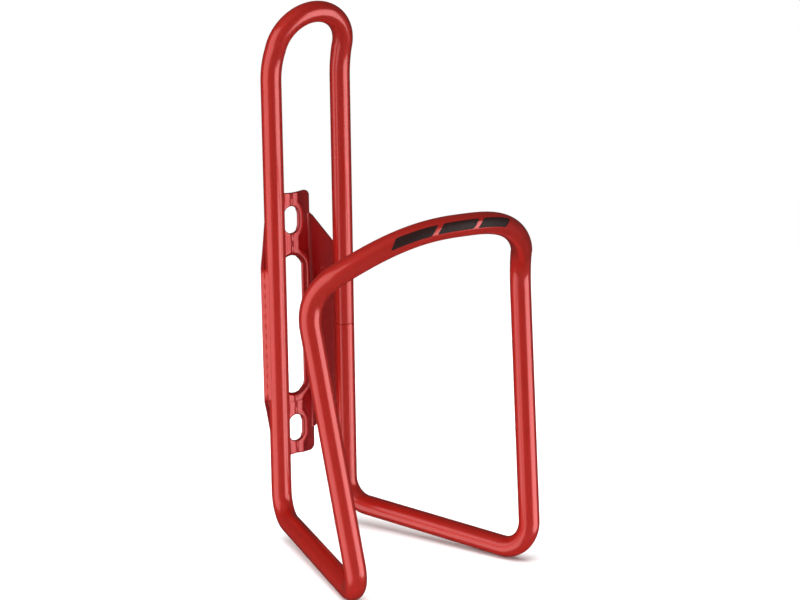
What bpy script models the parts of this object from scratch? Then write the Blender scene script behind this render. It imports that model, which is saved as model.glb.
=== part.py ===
"""Bicycle water bottle cage: one loop of bent aluminium tube on a pressed mounting plate.

Frame: +X is the cage's left-right direction, and the cage is a mirror image about X = 0.
+Z runs up along the rails, and -Y points forward, away from the bicycle and towards the bottle.
The origin is half way between the two bolt slots, in the plane that clamps to the bicycle frame.
Sizes are in metres.
"""

from math import acos, asin, atan2, cos, pi, radians, sin, tan

import bmesh
import bpy
from mathutils import Vector

MM = 0.001

# Tube
TUBE_RADIUS = 3.0 * MM
TUBE_WALL = 1.0 * MM

# Rails, which stand side by side in one plane in front of the mounting plate
RAIL_STANDOFF = 10.35 * MM         # from the clamping plane to the rails' centrelines
RAIL_HALF_SPACING = 12.0 * MM

# Arch that joins the rails at the top and leans towards the bottle
ARCH_RADIUS = 11.5 * MM
ARCH_REACH = 16.4 * MM             # from the neck bend to the arch's crown, along the lean
ARCH_LEAN = radians(23.4)
NECK_Z = 78.8 * MM
NECK_RADIUS = 22.0 * MM

# Arms, which carry the rails forward under the bottle, and legs, which rise beside it
TIGHT_BEND_RADIUS = 8.0 * MM
HEEL_Z = -54.9 * MM                # where the rails turn forward into the arms
TOE_X = 29.8 * MM                  # where the arms turn up into the legs
TOE_FORWARD = 65.0 * MM            # distances called forward start at the rails' plane
TOE_Z = -58.8 * MM

# Hoop round the front of the bottle
SHOULDER_X = 36.8 * MM             # where the legs turn into the hoop
SHOULDER_BEND_LENGTH = 9.4 * MM    # of the shoulder's bend, down the leg
SHOULDER_BEND_TURN = radians(11.5)  # of the shoulder's bend, round the hoop
HOOP_RADIUS = 43.0 * MM
HOOP_FORWARD = 72.8 * MM
HOOP_Z = 40.2 * MM
HOOP_DROP = 17.2 * MM              # from the hoop's middle down to the shoulders
HOOP_DROP_POWER = 2.5

# Butt joint that closes the loop, half way up the +X rail, and the pin inside it
SEAM_Z = 0.6 * MM
SEAM_GAP = 0.3 * MM
PIN_RADIUS = 1.65 * MM
PIN_LENGTH = 24.0 * MM
PIN_CHAMFER = 0.5 * MM

# Mounting plate, pressed from sheet with a convex middle, two folded wings and two rolled edges
SHEET = 1.15 * MM
CLEARANCE = 0.3 * MM               # between pieces that touch on the real object
BAND_HALF_WIDTH = 2.3 * MM         # flat band down the middle
VALLEY_X = 7.2 * MM                # fold between the plate's flanks and its wings
VALLEY_DEPTH = 1.7 * MM            # how far the valley lies behind the flat band
VALLEY_RADIUS = 1.2 * MM
ROLL_END = radians(33)             # how far behind the rails' outer sides the rolled edges stop
END_Z = 40.1 * MM                  # the plate's end edges, at its middle
TAB_HALF_WIDTH = 7.5 * MM
TAB_CORNER_Z = 40.5 * MM           # the end edges' outer corners
TAB_CORNER_RADIUS = 1.8 * MM
WING_START_Z = 33.1 * MM           # where the wings' sloping edges leave the tabs
WING_EDGE_Z = 24.6 * MM            # the sloping edges beside the rails
ROLLED_EDGE_Z = 18.6 * MM          # where the sloping edges would meet the rails' outer sides

# Bolt slots, with the two bolts 64 mm apart as on every bicycle frame, and the window between
BOLT_SPACING = 64.0 * MM
SLOT_WIDTH = 5.6 * MM
SLOT_LENGTH = 8.2 * MM
PAD_RIM = 1.4 * MM                 # width of the flat seat round a slot
PAD_PROUD = 0.15 * MM              # how far a seat stands out of the flat band, on each side
WINDOW_HALF_WIDTH = 4.15 * MM
WINDOW_HALF_HEIGHT = 21.2 * MM
WINDOW_ARCH_RISE = 3.1 * MM        # height of the window's curved ends

# Welds between the plate's rolled edges and the rails
WELD_LENGTH = 40.0 * MM

# Three plain stripes printed on the front of the hoop
STRIPE_LIFT = 0.3 * MM
STRIPE_THICKNESS = 0.3 * MM
STRIPE_TURN = radians(14)          # length of a stripe, round the hoop's plan arc
STRIPE_PITCH = radians(16)
STRIPE_MIDDLE = radians(-4.6)      # the middle stripe's place, a little to the left of the hoop's middle
STRIPE_HALF_ANGLE = radians(25)    # round the tube
STRIPE_TILT = radians(10)          # round the tube, from the front towards the top
STRIPE_SLANT = radians(1.5)        # how far a stripe's ends lean along the hoop
STRIPE_NAMES = ("front_stripe_left", "front_stripe_middle", "front_stripe_right")

# The sheet before its outline is cut, and the depth of the cutters
BLANK_HALF_HEIGHT = 45.0 * MM
OUTLINE_CUTTER_DEPTH = 2 * RAIL_STANDOFF
HOLE_CUTTER_DEPTH = RAIL_STANDOFF

# How finely curved shapes are divided
BEND_STEP = radians(10)            # turn between two rings of the tube in a bend
TUBE_BEVEL_RESOLUTION = 6          # gives the tube 16 sides
SHOULDER_STEPS = 8
HOOP_STEPS = 8                     # each side of the hoop's middle
ROLL_STEPS = 3
CORNER_STEPS = 4
SLOT_END_STEPS = 8
WINDOW_END_STEPS = 10
PIN_SIDES = 16
WELD_STEPS = 4
STRIPE_STEPS = 5
TINY_TURN = radians(0.1)
SMOOTH_ANGLE = radians(40)         # edges flatter than this are shaded smooth
WELD_DISTANCE = 0.001 * MM         # joins the vertices that a shape repeats

# Paint and bare metal: colour, roughness and metallic value
TUBE_PAINT = ((0.62, 0.035, 0.03), 0.28, 0.6)
PLATE_PAINT = ((0.48, 0.02, 0.02), 0.35, 0.6)
BARE_ALUMINIUM = ((0.6, 0.6, 0.62), 0.4, 1.0)
STRIPE_INK = ((0.03, 0.02, 0.02), 0.4, 0.0)


def point(x, forward, z):
    """A point given by its distance in front of the rails' plane."""
    return Vector((x, -RAIL_STANDOFF - forward, z))


def mirrored(route):
    """The same route on the cage's -X side."""
    return [Vector((-p.x, p.y, p.z)) for p in route]


def round_bend(before, corner, after, radius):
    """Points along the arc that rounds off a corner between two straight runs."""
    back = (before - corner).normalized()
    ahead = (after - corner).normalized()
    half_angle = back.angle(ahead) / 2
    centre = corner + (back + ahead).normalized() * radius / sin(half_angle)
    start = corner + back * radius / tan(half_angle) - centre
    end = corner + ahead * radius / tan(half_angle) - centre
    turn = pi - 2 * half_angle
    steps = max(2, round(turn / BEND_STEP))
    arc = []
    for step in range(steps + 1):
        part = turn * step / steps
        arc.append(centre + (start * sin(turn - part) + end * sin(part)) / sin(turn))
    return arc


def hoop_point(turn):
    """The hoop's centreline at an angle round its plan arc, 0 at the front."""
    x = HOOP_RADIUS * sin(turn)
    forward = HOOP_FORWARD - HOOP_RADIUS * (1 - cos(turn))
    return point(x, forward, HOOP_Z - HOOP_DROP * abs(x / SHOULDER_X) ** HOOP_DROP_POWER)


def arch_route():
    """The arch from its crown to its +X end."""
    neck = point(RAIL_HALF_SPACING, 0, NECK_Z)
    lean = Vector((0, -sin(ARCH_LEAN), cos(ARCH_LEAN)))
    centre = Vector((0, neck.y, neck.z)) + lean * (ARCH_REACH - ARCH_RADIUS)
    steps = round(pi / 2 / BEND_STEP)
    route = []
    for step in range(steps + 1):
        turn = pi / 2 * step / steps
        route.append(centre + Vector((sin(turn), 0, 0)) * ARCH_RADIUS + lean * ARCH_RADIUS * cos(turn))
    return route


def shoulder_and_hoop_route(toe):
    """From the top of the +X leg round the shoulder to the hoop's middle."""
    shoulder_turn = asin(SHOULDER_X / HOOP_RADIUS)
    shoulder = hoop_point(shoulder_turn)
    leg_end = shoulder + (toe - shoulder).normalized() * SHOULDER_BEND_LENGTH
    hoop_start_turn = shoulder_turn - SHOULDER_BEND_TURN
    hoop_start = hoop_point(hoop_start_turn)
    route = []
    for step in range(SHOULDER_STEPS):
        part = step / SHOULDER_STEPS
        low = leg_end.lerp(shoulder, part)
        high = shoulder.lerp(hoop_start, part)
        route.append(low.lerp(high, part))
    for step in range(HOOP_STEPS + 1):
        route.append(hoop_point(hoop_start_turn * (1 - step / HOOP_STEPS)))
    return route


def half_loop():
    """The +X half of the tube's centreline, as its routes above and below the straight rail."""
    arch = arch_route()
    neck = point(RAIL_HALF_SPACING, 0, NECK_Z)
    heel = point(RAIL_HALF_SPACING, 0, HEEL_Z)
    toe = point(TOE_X, TOE_FORWARD, TOE_Z)
    hoop = shoulder_and_hoop_route(toe)
    above = arch + round_bend(arch[-1], neck, heel, NECK_RADIUS)
    below = round_bend(neck, heel, toe, TIGHT_BEND_RADIUS)
    below += round_bend(heel, toe, hoop[0], TIGHT_BEND_RADIUS)
    below += hoop
    return above, below


def tube_route():
    """The whole loop, from the seam's upper end round to its lower end."""
    above, below = half_loop()
    seam_top = point(RAIL_HALF_SPACING, 0, SEAM_Z + SEAM_GAP / 2)
    seam_bottom = point(RAIL_HALF_SPACING, 0, SEAM_Z - SEAM_GAP / 2)
    far_side = mirrored(above + below)
    return [seam_top] + above[::-1] + far_side[1:] + below[-2::-1] + [seam_bottom]


def poly_curve(name, route, radius, resolution, caps):
    """A curve object of round section along straight stretches between points."""
    curve = bpy.data.curves.new(name, "CURVE")
    curve.dimensions = "3D"
    curve.bevel_depth = radius
    curve.bevel_resolution = resolution
    curve.use_fill_caps = caps
    spline = curve.splines.new("POLY")
    spline.points.add(len(route) - 1)
    for spline_point, place in zip(spline.points, route):
        spline_point.co = (*place, 1.0)
    return bpy.data.objects.new(name, curve)


def mesh_object(name, shape):
    """An object made from a bmesh."""
    mesh = bpy.data.meshes.new(name)
    shape.to_mesh(mesh)
    shape.free()
    return bpy.data.objects.new(name, mesh)


def finish(thing, surface):
    """Gives an object its own material, from a colour, a roughness and a metallic value."""
    colour, roughness, metallic = surface
    material = bpy.data.materials.new(thing.name)
    material.use_nodes = True
    shader = material.node_tree.nodes["Principled BSDF"]
    shader.inputs["Base Color"].default_value = (*colour, 1.0)
    shader.inputs["Roughness"].default_value = roughness
    shader.inputs["Metallic"].default_value = metallic
    thing.data.materials.append(material)


def arc_points(centre, radius, start, end, steps):
    """Points along an arc in a plane, as pairs."""
    return [
        (
            centre[0] + radius * cos(start + (end - start) * step / steps),
            centre[1] + radius * sin(start + (end - start) * step / steps),
        )
        for step in range(steps + 1)
    ]


def meshed(curve_object):
    """Turns a filled curve into a closed mesh object of the same name."""
    bpy.context.scene.collection.objects.link(curve_object)
    evaluated = curve_object.evaluated_get(bpy.context.evaluated_depsgraph_get())
    mesh = bpy.data.meshes.new_from_object(evaluated)
    shape = bmesh.new()
    shape.from_mesh(mesh)
    bmesh.ops.remove_doubles(shape, verts=shape.verts, dist=WELD_DISTANCE)
    shape.to_mesh(mesh)
    shape.free()
    name = curve_object.name
    place = curve_object.matrix_world.copy()
    bpy.data.objects.remove(curve_object)
    solid = bpy.data.objects.new(name, mesh)
    solid.matrix_world = place
    return solid


def filled_outline(name, outline, thickness, place, rotation):
    """A flat solid whose outline is given as pairs in its own plane, through its middle."""
    curve = bpy.data.curves.new(name, "CURVE")
    curve.dimensions = "2D"
    curve.fill_mode = "BOTH"
    curve.extrude = thickness / 2
    spline = curve.splines.new("POLY")
    spline.points.add(len(outline) - 1)
    for spline_point, (across, up) in zip(spline.points, outline):
        spline_point.co = (across, up, 0, 1)
    spline.use_cyclic_u = True
    flat = bpy.data.objects.new(name, curve)
    flat.location = place
    flat.rotation_euler = rotation
    bpy.context.scene.collection.objects.link(flat)
    bpy.context.view_layer.update()
    bpy.context.scene.collection.objects.unlink(flat)
    return meshed(flat)


def upright_plate(name, outline, y_middle, thickness):
    """A flat plate that faces along Y, with an outline of (x, z) pairs."""
    return filled_outline(name, outline, thickness, (0, y_middle, 0), (pi / 2, 0, 0))


def sheet_profile():
    """The plate's front surface across one half, as (x, forward) from the middle outwards."""
    band_front = -(RAIL_STANDOFF - PAD_PROUD - SHEET)
    valley = Vector((VALLEY_X, band_front - VALLEY_DEPTH, 0))
    rail = Vector((RAIL_HALF_SPACING, 0, 0))
    roll_radius = TUBE_RADIUS + CLEARANCE
    # The wing runs straight from the valley until it touches the rolled edge's circle.
    to_rail = rail - valley
    wing_angle = atan2(to_rail.y, to_rail.x) - asin(roll_radius / to_rail.length)
    roll_start = wing_angle - pi / 2
    touch = rail + Vector((cos(roll_start), sin(roll_start), 0)) * roll_radius
    band_edge = Vector((BAND_HALF_WIDTH, band_front, 0))
    fold = round_bend(band_edge, valley, touch, VALLEY_RADIUS)
    roll = arc_points(rail, roll_radius, roll_start, -ROLL_END, ROLL_STEPS)
    return [(0, band_front), band_edge.xy] + [p.xy for p in fold] + roll


def sheet_blank():
    """The formed sheet before its outline is cut: a half, mirrored, and thickened backwards."""
    shape = bmesh.new()
    low_edge = [
        shape.verts.new((x, -RAIL_STANDOFF - forward, -BLANK_HALF_HEIGHT))
        for x, forward in sheet_profile()
    ]
    edges = [shape.edges.new(pair) for pair in zip(low_edge, low_edge[1:])]
    pulled = bmesh.ops.extrude_edge_only(shape, edges=edges)["geom"]
    top = [item for item in pulled if isinstance(item, bmesh.types.BMVert)]
    bmesh.ops.translate(shape, verts=top, vec=(0, 0, 2 * BLANK_HALF_HEIGHT))
    for face in shape.faces:
        if face.normal.y > 0:
            face.normal_flip()
    blank = mesh_object("mounting_plate", shape)
    mirror = blank.modifiers.new("Other half", "MIRROR")
    mirror.merge_threshold = WELD_DISTANCE
    solidify = blank.modifiers.new("Sheet", "SOLIDIFY")
    solidify.thickness = SHEET
    solidify.offset = -1
    solidify.use_even_offset = True
    return blank


def plate_outline():
    """The plate's outline seen from the front, from four mirrored quarters."""
    corner = arc_points(
        (TAB_HALF_WIDTH - TAB_CORNER_RADIUS, TAB_CORNER_Z - TAB_CORNER_RADIUS),
        TAB_CORNER_RADIUS, pi / 2, 0, CORNER_STEPS,
    )
    outer = RAIL_HALF_SPACING + TUBE_RADIUS + CLEARANCE + SHEET
    quarter = [(0, END_Z)] + corner + [
        (TAB_HALF_WIDTH, WING_START_Z),
        (RAIL_HALF_SPACING, WING_EDGE_Z),
        (outer, ROLLED_EDGE_Z),
    ]
    right = quarter + [(x, -z) for x, z in quarter[::-1]]
    left = [(-x, z) for x, z in right[-2:0:-1]]
    return right + left


def slot_outline(middle_z, rim):
    """A slot with round ends, made larger all round by a rim."""
    radius = SLOT_WIDTH / 2 + rim
    reach = (SLOT_LENGTH - SLOT_WIDTH) / 2
    top = arc_points((0, middle_z + reach), radius, 0, pi, SLOT_END_STEPS)
    bottom = arc_points((0, middle_z - reach), radius, pi, 2 * pi, SLOT_END_STEPS)
    return top + bottom


def window_outline():
    """The long window between the slots, with arched ends."""
    half_chord = WINDOW_HALF_WIDTH
    radius = (half_chord ** 2 + WINDOW_ARCH_RISE ** 2) / (2 * WINDOW_ARCH_RISE)
    half_turn = asin(half_chord / radius)
    centre_z = WINDOW_HALF_HEIGHT - radius
    top = arc_points((0, centre_z), radius, pi / 2 - half_turn, pi / 2 + half_turn, WINDOW_END_STEPS)
    return top + [(x, -z) for x, z in top[::-1]]


def add_boolean(thing, cutter, operation):
    """Cuts, joins or trims a piece with a cutter."""
    boolean = thing.modifiers.new(cutter.name, "BOOLEAN")
    boolean.operation = operation
    boolean.solver = "EXACT"
    boolean.object = cutter
    cutter.hide_render = True
    cutter.display_type = "WIRE"
    return cutter


def mounting_plate():
    """The pressed plate, with the cutters that shape it."""
    plate = sheet_blank()
    band_middle = -PAD_PROUD - SHEET / 2
    pad_thickness = SHEET + 2 * PAD_PROUD
    outline = upright_plate("outline", plate_outline(), -RAIL_STANDOFF / 2, OUTLINE_CUTTER_DEPTH)
    cutters = [add_boolean(plate, outline, "INTERSECT")]
    for side, z in (("upper", BOLT_SPACING / 2), ("lower", -BOLT_SPACING / 2)):
        pad = upright_plate(side + "_pad", slot_outline(z, PAD_RIM), band_middle, pad_thickness)
        slot = upright_plate(side + "_slot", slot_outline(z, 0), band_middle, HOLE_CUTTER_DEPTH)
        cutters.append(add_boolean(plate, pad, "UNION"))
        cutters.append(add_boolean(plate, slot, "DIFFERENCE"))
    window = upright_plate("window", window_outline(), band_middle, HOLE_CUTTER_DEPTH)
    cutters.append(add_boolean(plate, window, "DIFFERENCE"))
    finish(plate, PLATE_PAINT)
    return plate, cutters


def cage_tube():
    """The bent tube: an open sleeve along the loop, thickened inwards."""
    tube = poly_curve("cage_tube", tube_route(), TUBE_RADIUS, TUBE_BEVEL_RESOLUTION, caps=False)
    solidify = tube.modifiers.new("Tube wall", "SOLIDIFY")
    solidify.thickness = TUBE_WALL
    solidify.offset = -1
    finish(tube, TUBE_PAINT)
    return tube


def joint_pin():
    """The chamfered pin that lines up the tube's two ends at the seam."""
    shape = bmesh.new()
    bmesh.ops.create_cone(
        shape, cap_ends=True, segments=PIN_SIDES, radius1=PIN_RADIUS, radius2=PIN_RADIUS, depth=PIN_LENGTH,
    )
    pin = mesh_object("joint_pin", shape)
    pin.location = point(RAIL_HALF_SPACING, 0, SEAM_Z)
    pin.data.shade_smooth()
    pin.data.set_sharp_from_angle(angle=SMOOTH_ANGLE)
    chamfer = pin.modifiers.new("Chamfer", "BEVEL")
    chamfer.width = PIN_CHAMFER
    chamfer.segments = 1
    chamfer.limit_method = "ANGLE"
    chamfer.angle_limit = SMOOTH_ANGLE
    finish(pin, BARE_ALUMINIUM)
    return pin


def weld_section():
    """The weld's section on the +X side, as (across, forward) from the rail's centre.

    Its outer face runs flat from the rolled edge's outer corner towards the rail's surface.
    """
    inner = TUBE_RADIUS + CLEARANCE
    face_turn = acos(TUBE_RADIUS / (inner + SHEET)) - ROLL_END
    thin_end = face_turn - acos(TUBE_RADIUS / inner)
    thick_end = asin(CLEARANCE / inner) - ROLL_END
    corner_radius = TUBE_RADIUS / cos(face_turn - thick_end)
    section = arc_points((0, 0), inner, thin_end, thick_end, WELD_STEPS)
    return section + [(corner_radius * cos(thick_end), corner_radius * sin(thick_end))]


def weld_seam(name, side):
    """The weld in the corner between a rolled edge and the outer side of its rail."""
    outline = []
    for across, forward in weld_section():
        place = point(side * (RAIL_HALF_SPACING + across), forward, 0)
        outline.append((place.x, place.y))
    seam = filled_outline(name, outline[::side], WELD_LENGTH, (0, 0, 0), (0, 0, 0))
    finish(seam, TUBE_PAINT)
    return seam


def stripe(name, middle_turn):
    """A thin printed stripe that lies round the front of the hoop's tube."""
    shape = bmesh.new()
    bmesh.ops.create_grid(shape, x_segments=STRIPE_STEPS, y_segments=STRIPE_STEPS, size=1)
    for vert in shape.verts:
        along, around = vert.co.x, vert.co.y
        turn = middle_turn + along * STRIPE_TURN / 2 + around * STRIPE_SLANT
        centre = hoop_point(turn)
        run = (hoop_point(turn + TINY_TURN) - hoop_point(turn - TINY_TURN)).normalized()
        outward = Vector((sin(turn), -cos(turn), 0))
        outward = (outward - run * outward.dot(run)).normalized()
        upward = outward.cross(run)
        lean = STRIPE_TILT + around * STRIPE_HALF_ANGLE
        direction = outward * cos(lean) + upward * sin(lean)
        vert.co = centre + direction * (TUBE_RADIUS + STRIPE_LIFT)
    film = mesh_object(name, shape)
    solidify = film.modifiers.new("Film", "SOLIDIFY")
    solidify.thickness = STRIPE_THICKNESS
    solidify.offset = 1
    finish(film, STRIPE_INK)
    return film


def collect(name, things):
    """A collection in the scene that holds these objects."""
    collection = bpy.data.collections.new(name)
    bpy.context.scene.collection.children.link(collection)
    for thing in things:
        collection.objects.link(thing)


def main():
    for old in list(bpy.data.objects):
        bpy.data.objects.remove(old)
    plate, cutters = mounting_plate()
    parts = [
        cage_tube(),
        joint_pin(),
        plate,
        weld_seam("weld_seam_left", -1),
        weld_seam("weld_seam_right", 1),
    ]
    for place, name in enumerate(STRIPE_NAMES):
        parts.append(stripe(name, STRIPE_MIDDLE + (place - 1) * STRIPE_PITCH))
    collect("water_bottle_cage", parts)
    collect("cutters", cutters)


main()
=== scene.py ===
"""Looks of the bicycle water bottle cage: a red lacquered tube loop on a pressed mounting plate.

Frame: +X is left-right, +Z runs up along the rails, -Y points forward, towards the bottle.
Sizes are in metres. Distances called forward start at the plane of the rails' centrelines.
"""

from bisect import bisect_left
from math import acos, asin, atan2, cos, dist, exp, pi, radians, sin, sqrt, tan

import bmesh
import bpy
import numpy as np
from mathutils import Matrix, Vector
from mathutils.geometry import delaunay_2d_cdt


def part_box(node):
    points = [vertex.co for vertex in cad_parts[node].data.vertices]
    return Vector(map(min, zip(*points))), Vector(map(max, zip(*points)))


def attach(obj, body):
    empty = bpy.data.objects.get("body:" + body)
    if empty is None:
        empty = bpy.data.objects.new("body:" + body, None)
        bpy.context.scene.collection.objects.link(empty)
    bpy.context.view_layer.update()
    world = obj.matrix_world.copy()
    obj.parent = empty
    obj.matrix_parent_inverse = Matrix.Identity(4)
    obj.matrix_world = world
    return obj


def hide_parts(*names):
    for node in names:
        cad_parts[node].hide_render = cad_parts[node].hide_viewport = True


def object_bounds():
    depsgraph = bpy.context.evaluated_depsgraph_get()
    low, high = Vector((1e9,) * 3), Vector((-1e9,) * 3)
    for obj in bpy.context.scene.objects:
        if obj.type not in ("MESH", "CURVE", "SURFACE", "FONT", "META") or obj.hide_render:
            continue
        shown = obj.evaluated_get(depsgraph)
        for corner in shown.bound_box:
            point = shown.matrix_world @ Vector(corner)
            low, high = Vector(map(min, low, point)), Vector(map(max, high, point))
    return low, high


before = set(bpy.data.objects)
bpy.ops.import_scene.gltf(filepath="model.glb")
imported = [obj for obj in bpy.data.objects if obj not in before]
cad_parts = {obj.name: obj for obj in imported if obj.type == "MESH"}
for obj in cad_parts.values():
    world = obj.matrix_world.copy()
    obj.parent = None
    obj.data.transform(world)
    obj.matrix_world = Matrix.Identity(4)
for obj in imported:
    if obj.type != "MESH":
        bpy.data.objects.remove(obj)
cad_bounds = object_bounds()

MM = 0.001

# Places read from the CAD model. The pin sits in the +X rail, centred on the seam
PIN_LOW, PIN_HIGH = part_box("joint_pin")
PLATE_TOP_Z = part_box("mounting_plate")[1].z
WELD_LOW, WELD_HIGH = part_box("weld_seam_right")
SEAM_CENTRE = (PIN_LOW + PIN_HIGH) / 2
RAIL_X = SEAM_CENTRE.x
RAIL_Y = SEAM_CENTRE.y
RAIL_STANDOFF = -RAIL_Y            # from the clamping plane, Y = 0, to the rails' centrelines

# ---------------------------------------------------------------- tube loop

TUBE_RADIUS = 3.0 * MM
TUBE_WALL = 1.0 * MM
ROUND_SIDES = 48                   # of the tube and the pin
SEAM_HALF_GAP = 0.03 * MM
SEAM_ROUNDING = 0.12 * MM
SEAM_ROUNDING_TURNS = (0, radians(30), radians(60), radians(90))

# Arch, arms, legs and hoop
ARCH_RADIUS = 11.5 * MM
ARCH_REACH = 16.4 * MM             # from the neck bend to the arch's crown, along the lean
ARCH_LEAN = radians(23.4)
NECK_Z = 78.8 * MM
NECK_RADIUS = 22.0 * MM
TIGHT_BEND_RADIUS = 8.0 * MM
HEEL_Z = -54.9 * MM
TOE_X = 29.8 * MM
TOE_FORWARD = 65.0 * MM
TOE_Z = -58.8 * MM
SHOULDER_X = 36.8 * MM
SHOULDER_BEND_LENGTH = 9.4 * MM    # of the shoulder's bend, down the leg
SHOULDER_BEND_TURN = radians(11.5)  # of the shoulder's bend, round the hoop
HOOP_RADIUS = 43.0 * MM
HOOP_FORWARD = 72.8 * MM
HOOP_Z = 40.2 * MM
HOOP_DROP = 17.2 * MM
HOOP_DROP_POWER = 2.5
BEND_STEP = radians(2.5)           # turn between two rings of the tube in a bend
SHOULDER_STEPS = 30
HOOP_STEPS = 48                    # each side of the hoop's middle
STRAIGHT_STEP = 4.0 * MM           # between two rings of the tube on a straight run


def point(x, forward, z):
    """A point given by its distance in front of the rails' plane."""
    return Vector((x, RAIL_Y - forward, z))


def mirrored(route):
    """The same route on the cage's -X side."""
    return [Vector((-p.x, p.y, p.z)) for p in route]


def round_bend(before, corner, after, radius):
    """Points along the arc that rounds off a corner between two straight runs."""
    back = (before - corner).normalized()
    ahead = (after - corner).normalized()
    half_angle = back.angle(ahead) / 2
    centre = corner + (back + ahead).normalized() * radius / sin(half_angle)
    start = corner + back * radius / tan(half_angle) - centre
    end = corner + ahead * radius / tan(half_angle) - centre
    turn = pi - 2 * half_angle
    steps = max(2, round(turn / BEND_STEP))
    arc = []
    for step in range(steps + 1):
        part = turn * step / steps
        arc.append(centre + (start * sin(turn - part) + end * sin(part)) / sin(turn))
    return arc


def hoop_point(turn):
    """The hoop's centreline at an angle round its plan arc, 0 at the front."""
    x = HOOP_RADIUS * sin(turn)
    forward = HOOP_FORWARD - HOOP_RADIUS * (1 - cos(turn))
    return point(x, forward, HOOP_Z - HOOP_DROP * abs(x / SHOULDER_X) ** HOOP_DROP_POWER)


def arch_route():
    """The arch from its crown to its +X end."""
    neck = point(RAIL_X, 0, NECK_Z)
    lean = Vector((0, -sin(ARCH_LEAN), cos(ARCH_LEAN)))
    centre = Vector((0, neck.y, neck.z)) + lean * (ARCH_REACH - ARCH_RADIUS)
    steps = round(pi / 2 / BEND_STEP)
    route = []
    for step in range(steps + 1):
        turn = pi / 2 * step / steps
        across = Vector((sin(turn), 0, 0))
        route.append(centre + (across + lean * cos(turn)) * ARCH_RADIUS)
    return route


def shoulder_and_hoop_route(toe):
    """From the top of the +X leg round the shoulder to the hoop's middle."""
    shoulder_turn = asin(SHOULDER_X / HOOP_RADIUS)
    shoulder = hoop_point(shoulder_turn)
    leg_end = shoulder + (toe - shoulder).normalized() * SHOULDER_BEND_LENGTH
    hoop_start_turn = shoulder_turn - SHOULDER_BEND_TURN
    hoop_start = hoop_point(hoop_start_turn)
    route = []
    for step in range(SHOULDER_STEPS):
        part = step / SHOULDER_STEPS
        low = leg_end.lerp(shoulder, part)
        high = shoulder.lerp(hoop_start, part)
        route.append(low.lerp(high, part))
    for step in range(HOOP_STEPS + 1):
        route.append(hoop_point(hoop_start_turn * (1 - step / HOOP_STEPS)))
    return route


def tube_route():
    """The whole loop, from the seam's upper end round to its lower end."""
    arch = arch_route()
    neck = point(RAIL_X, 0, NECK_Z)
    heel = point(RAIL_X, 0, HEEL_Z)
    toe = point(TOE_X, TOE_FORWARD, TOE_Z)
    hoop = shoulder_and_hoop_route(toe)
    above = arch + round_bend(arch[-1], neck, heel, NECK_RADIUS)
    below = round_bend(neck, heel, toe, TIGHT_BEND_RADIUS)
    below += round_bend(heel, toe, hoop[0], TIGHT_BEND_RADIUS)
    below += hoop
    seam_top = point(RAIL_X, 0, SEAM_CENTRE.z + SEAM_HALF_GAP)
    seam_bottom = point(RAIL_X, 0, SEAM_CENTRE.z - SEAM_HALF_GAP)
    far_side = mirrored(above + below)
    return [seam_top] + above[::-1] + far_side[1:] + below[-2::-1] + [seam_bottom]


def with_straight_steps(route):
    """The route with more points along its long straight runs."""
    finer = [route[0]]
    for start, end in zip(route, route[1:]):
        steps = max(1, round((end - start).length / STRAIGHT_STEP))
        finer += [start.lerp(end, step / steps) for step in range(1, steps + 1)]
    return finer


def mesh_object(name, shape):
    """A smoothly shaded object made from a bmesh."""
    bmesh.ops.recalc_face_normals(shape, faces=shape.faces)
    mesh = bpy.data.meshes.new(name)
    shape.to_mesh(mesh)
    shape.free()
    mesh.shade_smooth()
    thing = bpy.data.objects.new(name, mesh)
    bpy.context.scene.collection.objects.link(thing)
    return thing


def stands_for(thing, node, material):
    """Puts a piece in the place of a CAD node and gives it its material."""
    thing.data.materials.append(material)
    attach(thing, "root")
    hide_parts(node)


def bridge(shape, rings):
    """Joins each ring of vertices to the next one with faces."""
    for low, high in zip(rings, rings[1:]):
        for side in range(len(low)):
            after = (side + 1) % len(low)
            shape.faces.new((low[side], low[after], high[after], high[side]))


def frames_along(route):
    """A pair of steady cross directions at each point of a route."""
    runs = []
    for before, after in zip([route[0]] + route[:-1], route[1:] + [route[-1]]):
        runs.append((after - before).normalized())
    across = runs[0].orthogonal().normalized()
    pairs = [(across, runs[0].cross(across))]
    for last, run in zip(runs, runs[1:]):
        across = last.rotation_difference(run) @ across
        across = (across - run * across.dot(run)).normalized()
        pairs.append((across, run.cross(across)))
    return pairs


def round_ring(shape, centre, pair, radius):
    """A ring of vertices round a point of a centreline."""
    ring = []
    for side in range(ROUND_SIDES):
        angle = 2 * pi * side / ROUND_SIDES
        outward = pair[0] * cos(angle) + pair[1] * sin(angle)
        ring.append(shape.verts.new(centre + outward * radius))
    return ring


def rounded_end(route):
    """Place and radius of the rings that round off the tube's end at the start of a route."""
    run = (route[1] - route[0]).normalized()
    rings = []
    for turn in SEAM_ROUNDING_TURNS:
        place = route[0] + run * SEAM_ROUNDING * (1 - cos(turn))
        rings.append((place, TUBE_RADIUS - SEAM_ROUNDING * (1 - sin(turn))))
    return rings


def cage_tube(material):
    """The loop of bent tube, with its wall, and with softly rounded ends that meet at the seam."""
    route = with_straight_steps(tube_route())
    pairs = frames_along(route)
    start = rounded_end(route)
    end = rounded_end(route[::-1])[::-1]
    outside = [(place, radius, pairs[0]) for place, radius in start]
    outside += [(place, TUBE_RADIUS, pair) for place, pair in zip(route[1:-1], pairs[1:-1])]
    outside += [(place, radius, pairs[-1]) for place, radius in end]
    inside = [(place, TUBE_RADIUS - TUBE_WALL, pair) for place, pair in zip(route, pairs)]
    shape = bmesh.new()
    rings = []
    for place, radius, pair in outside + inside[::-1]:
        rings.append(round_ring(shape, place, pair, radius))
    bridge(shape, rings + rings[:1])
    tube = mesh_object("tube_loop", shape)
    stands_for(tube, "cage_tube", material)


# ---------------------------------------------------------------- materials

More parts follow.
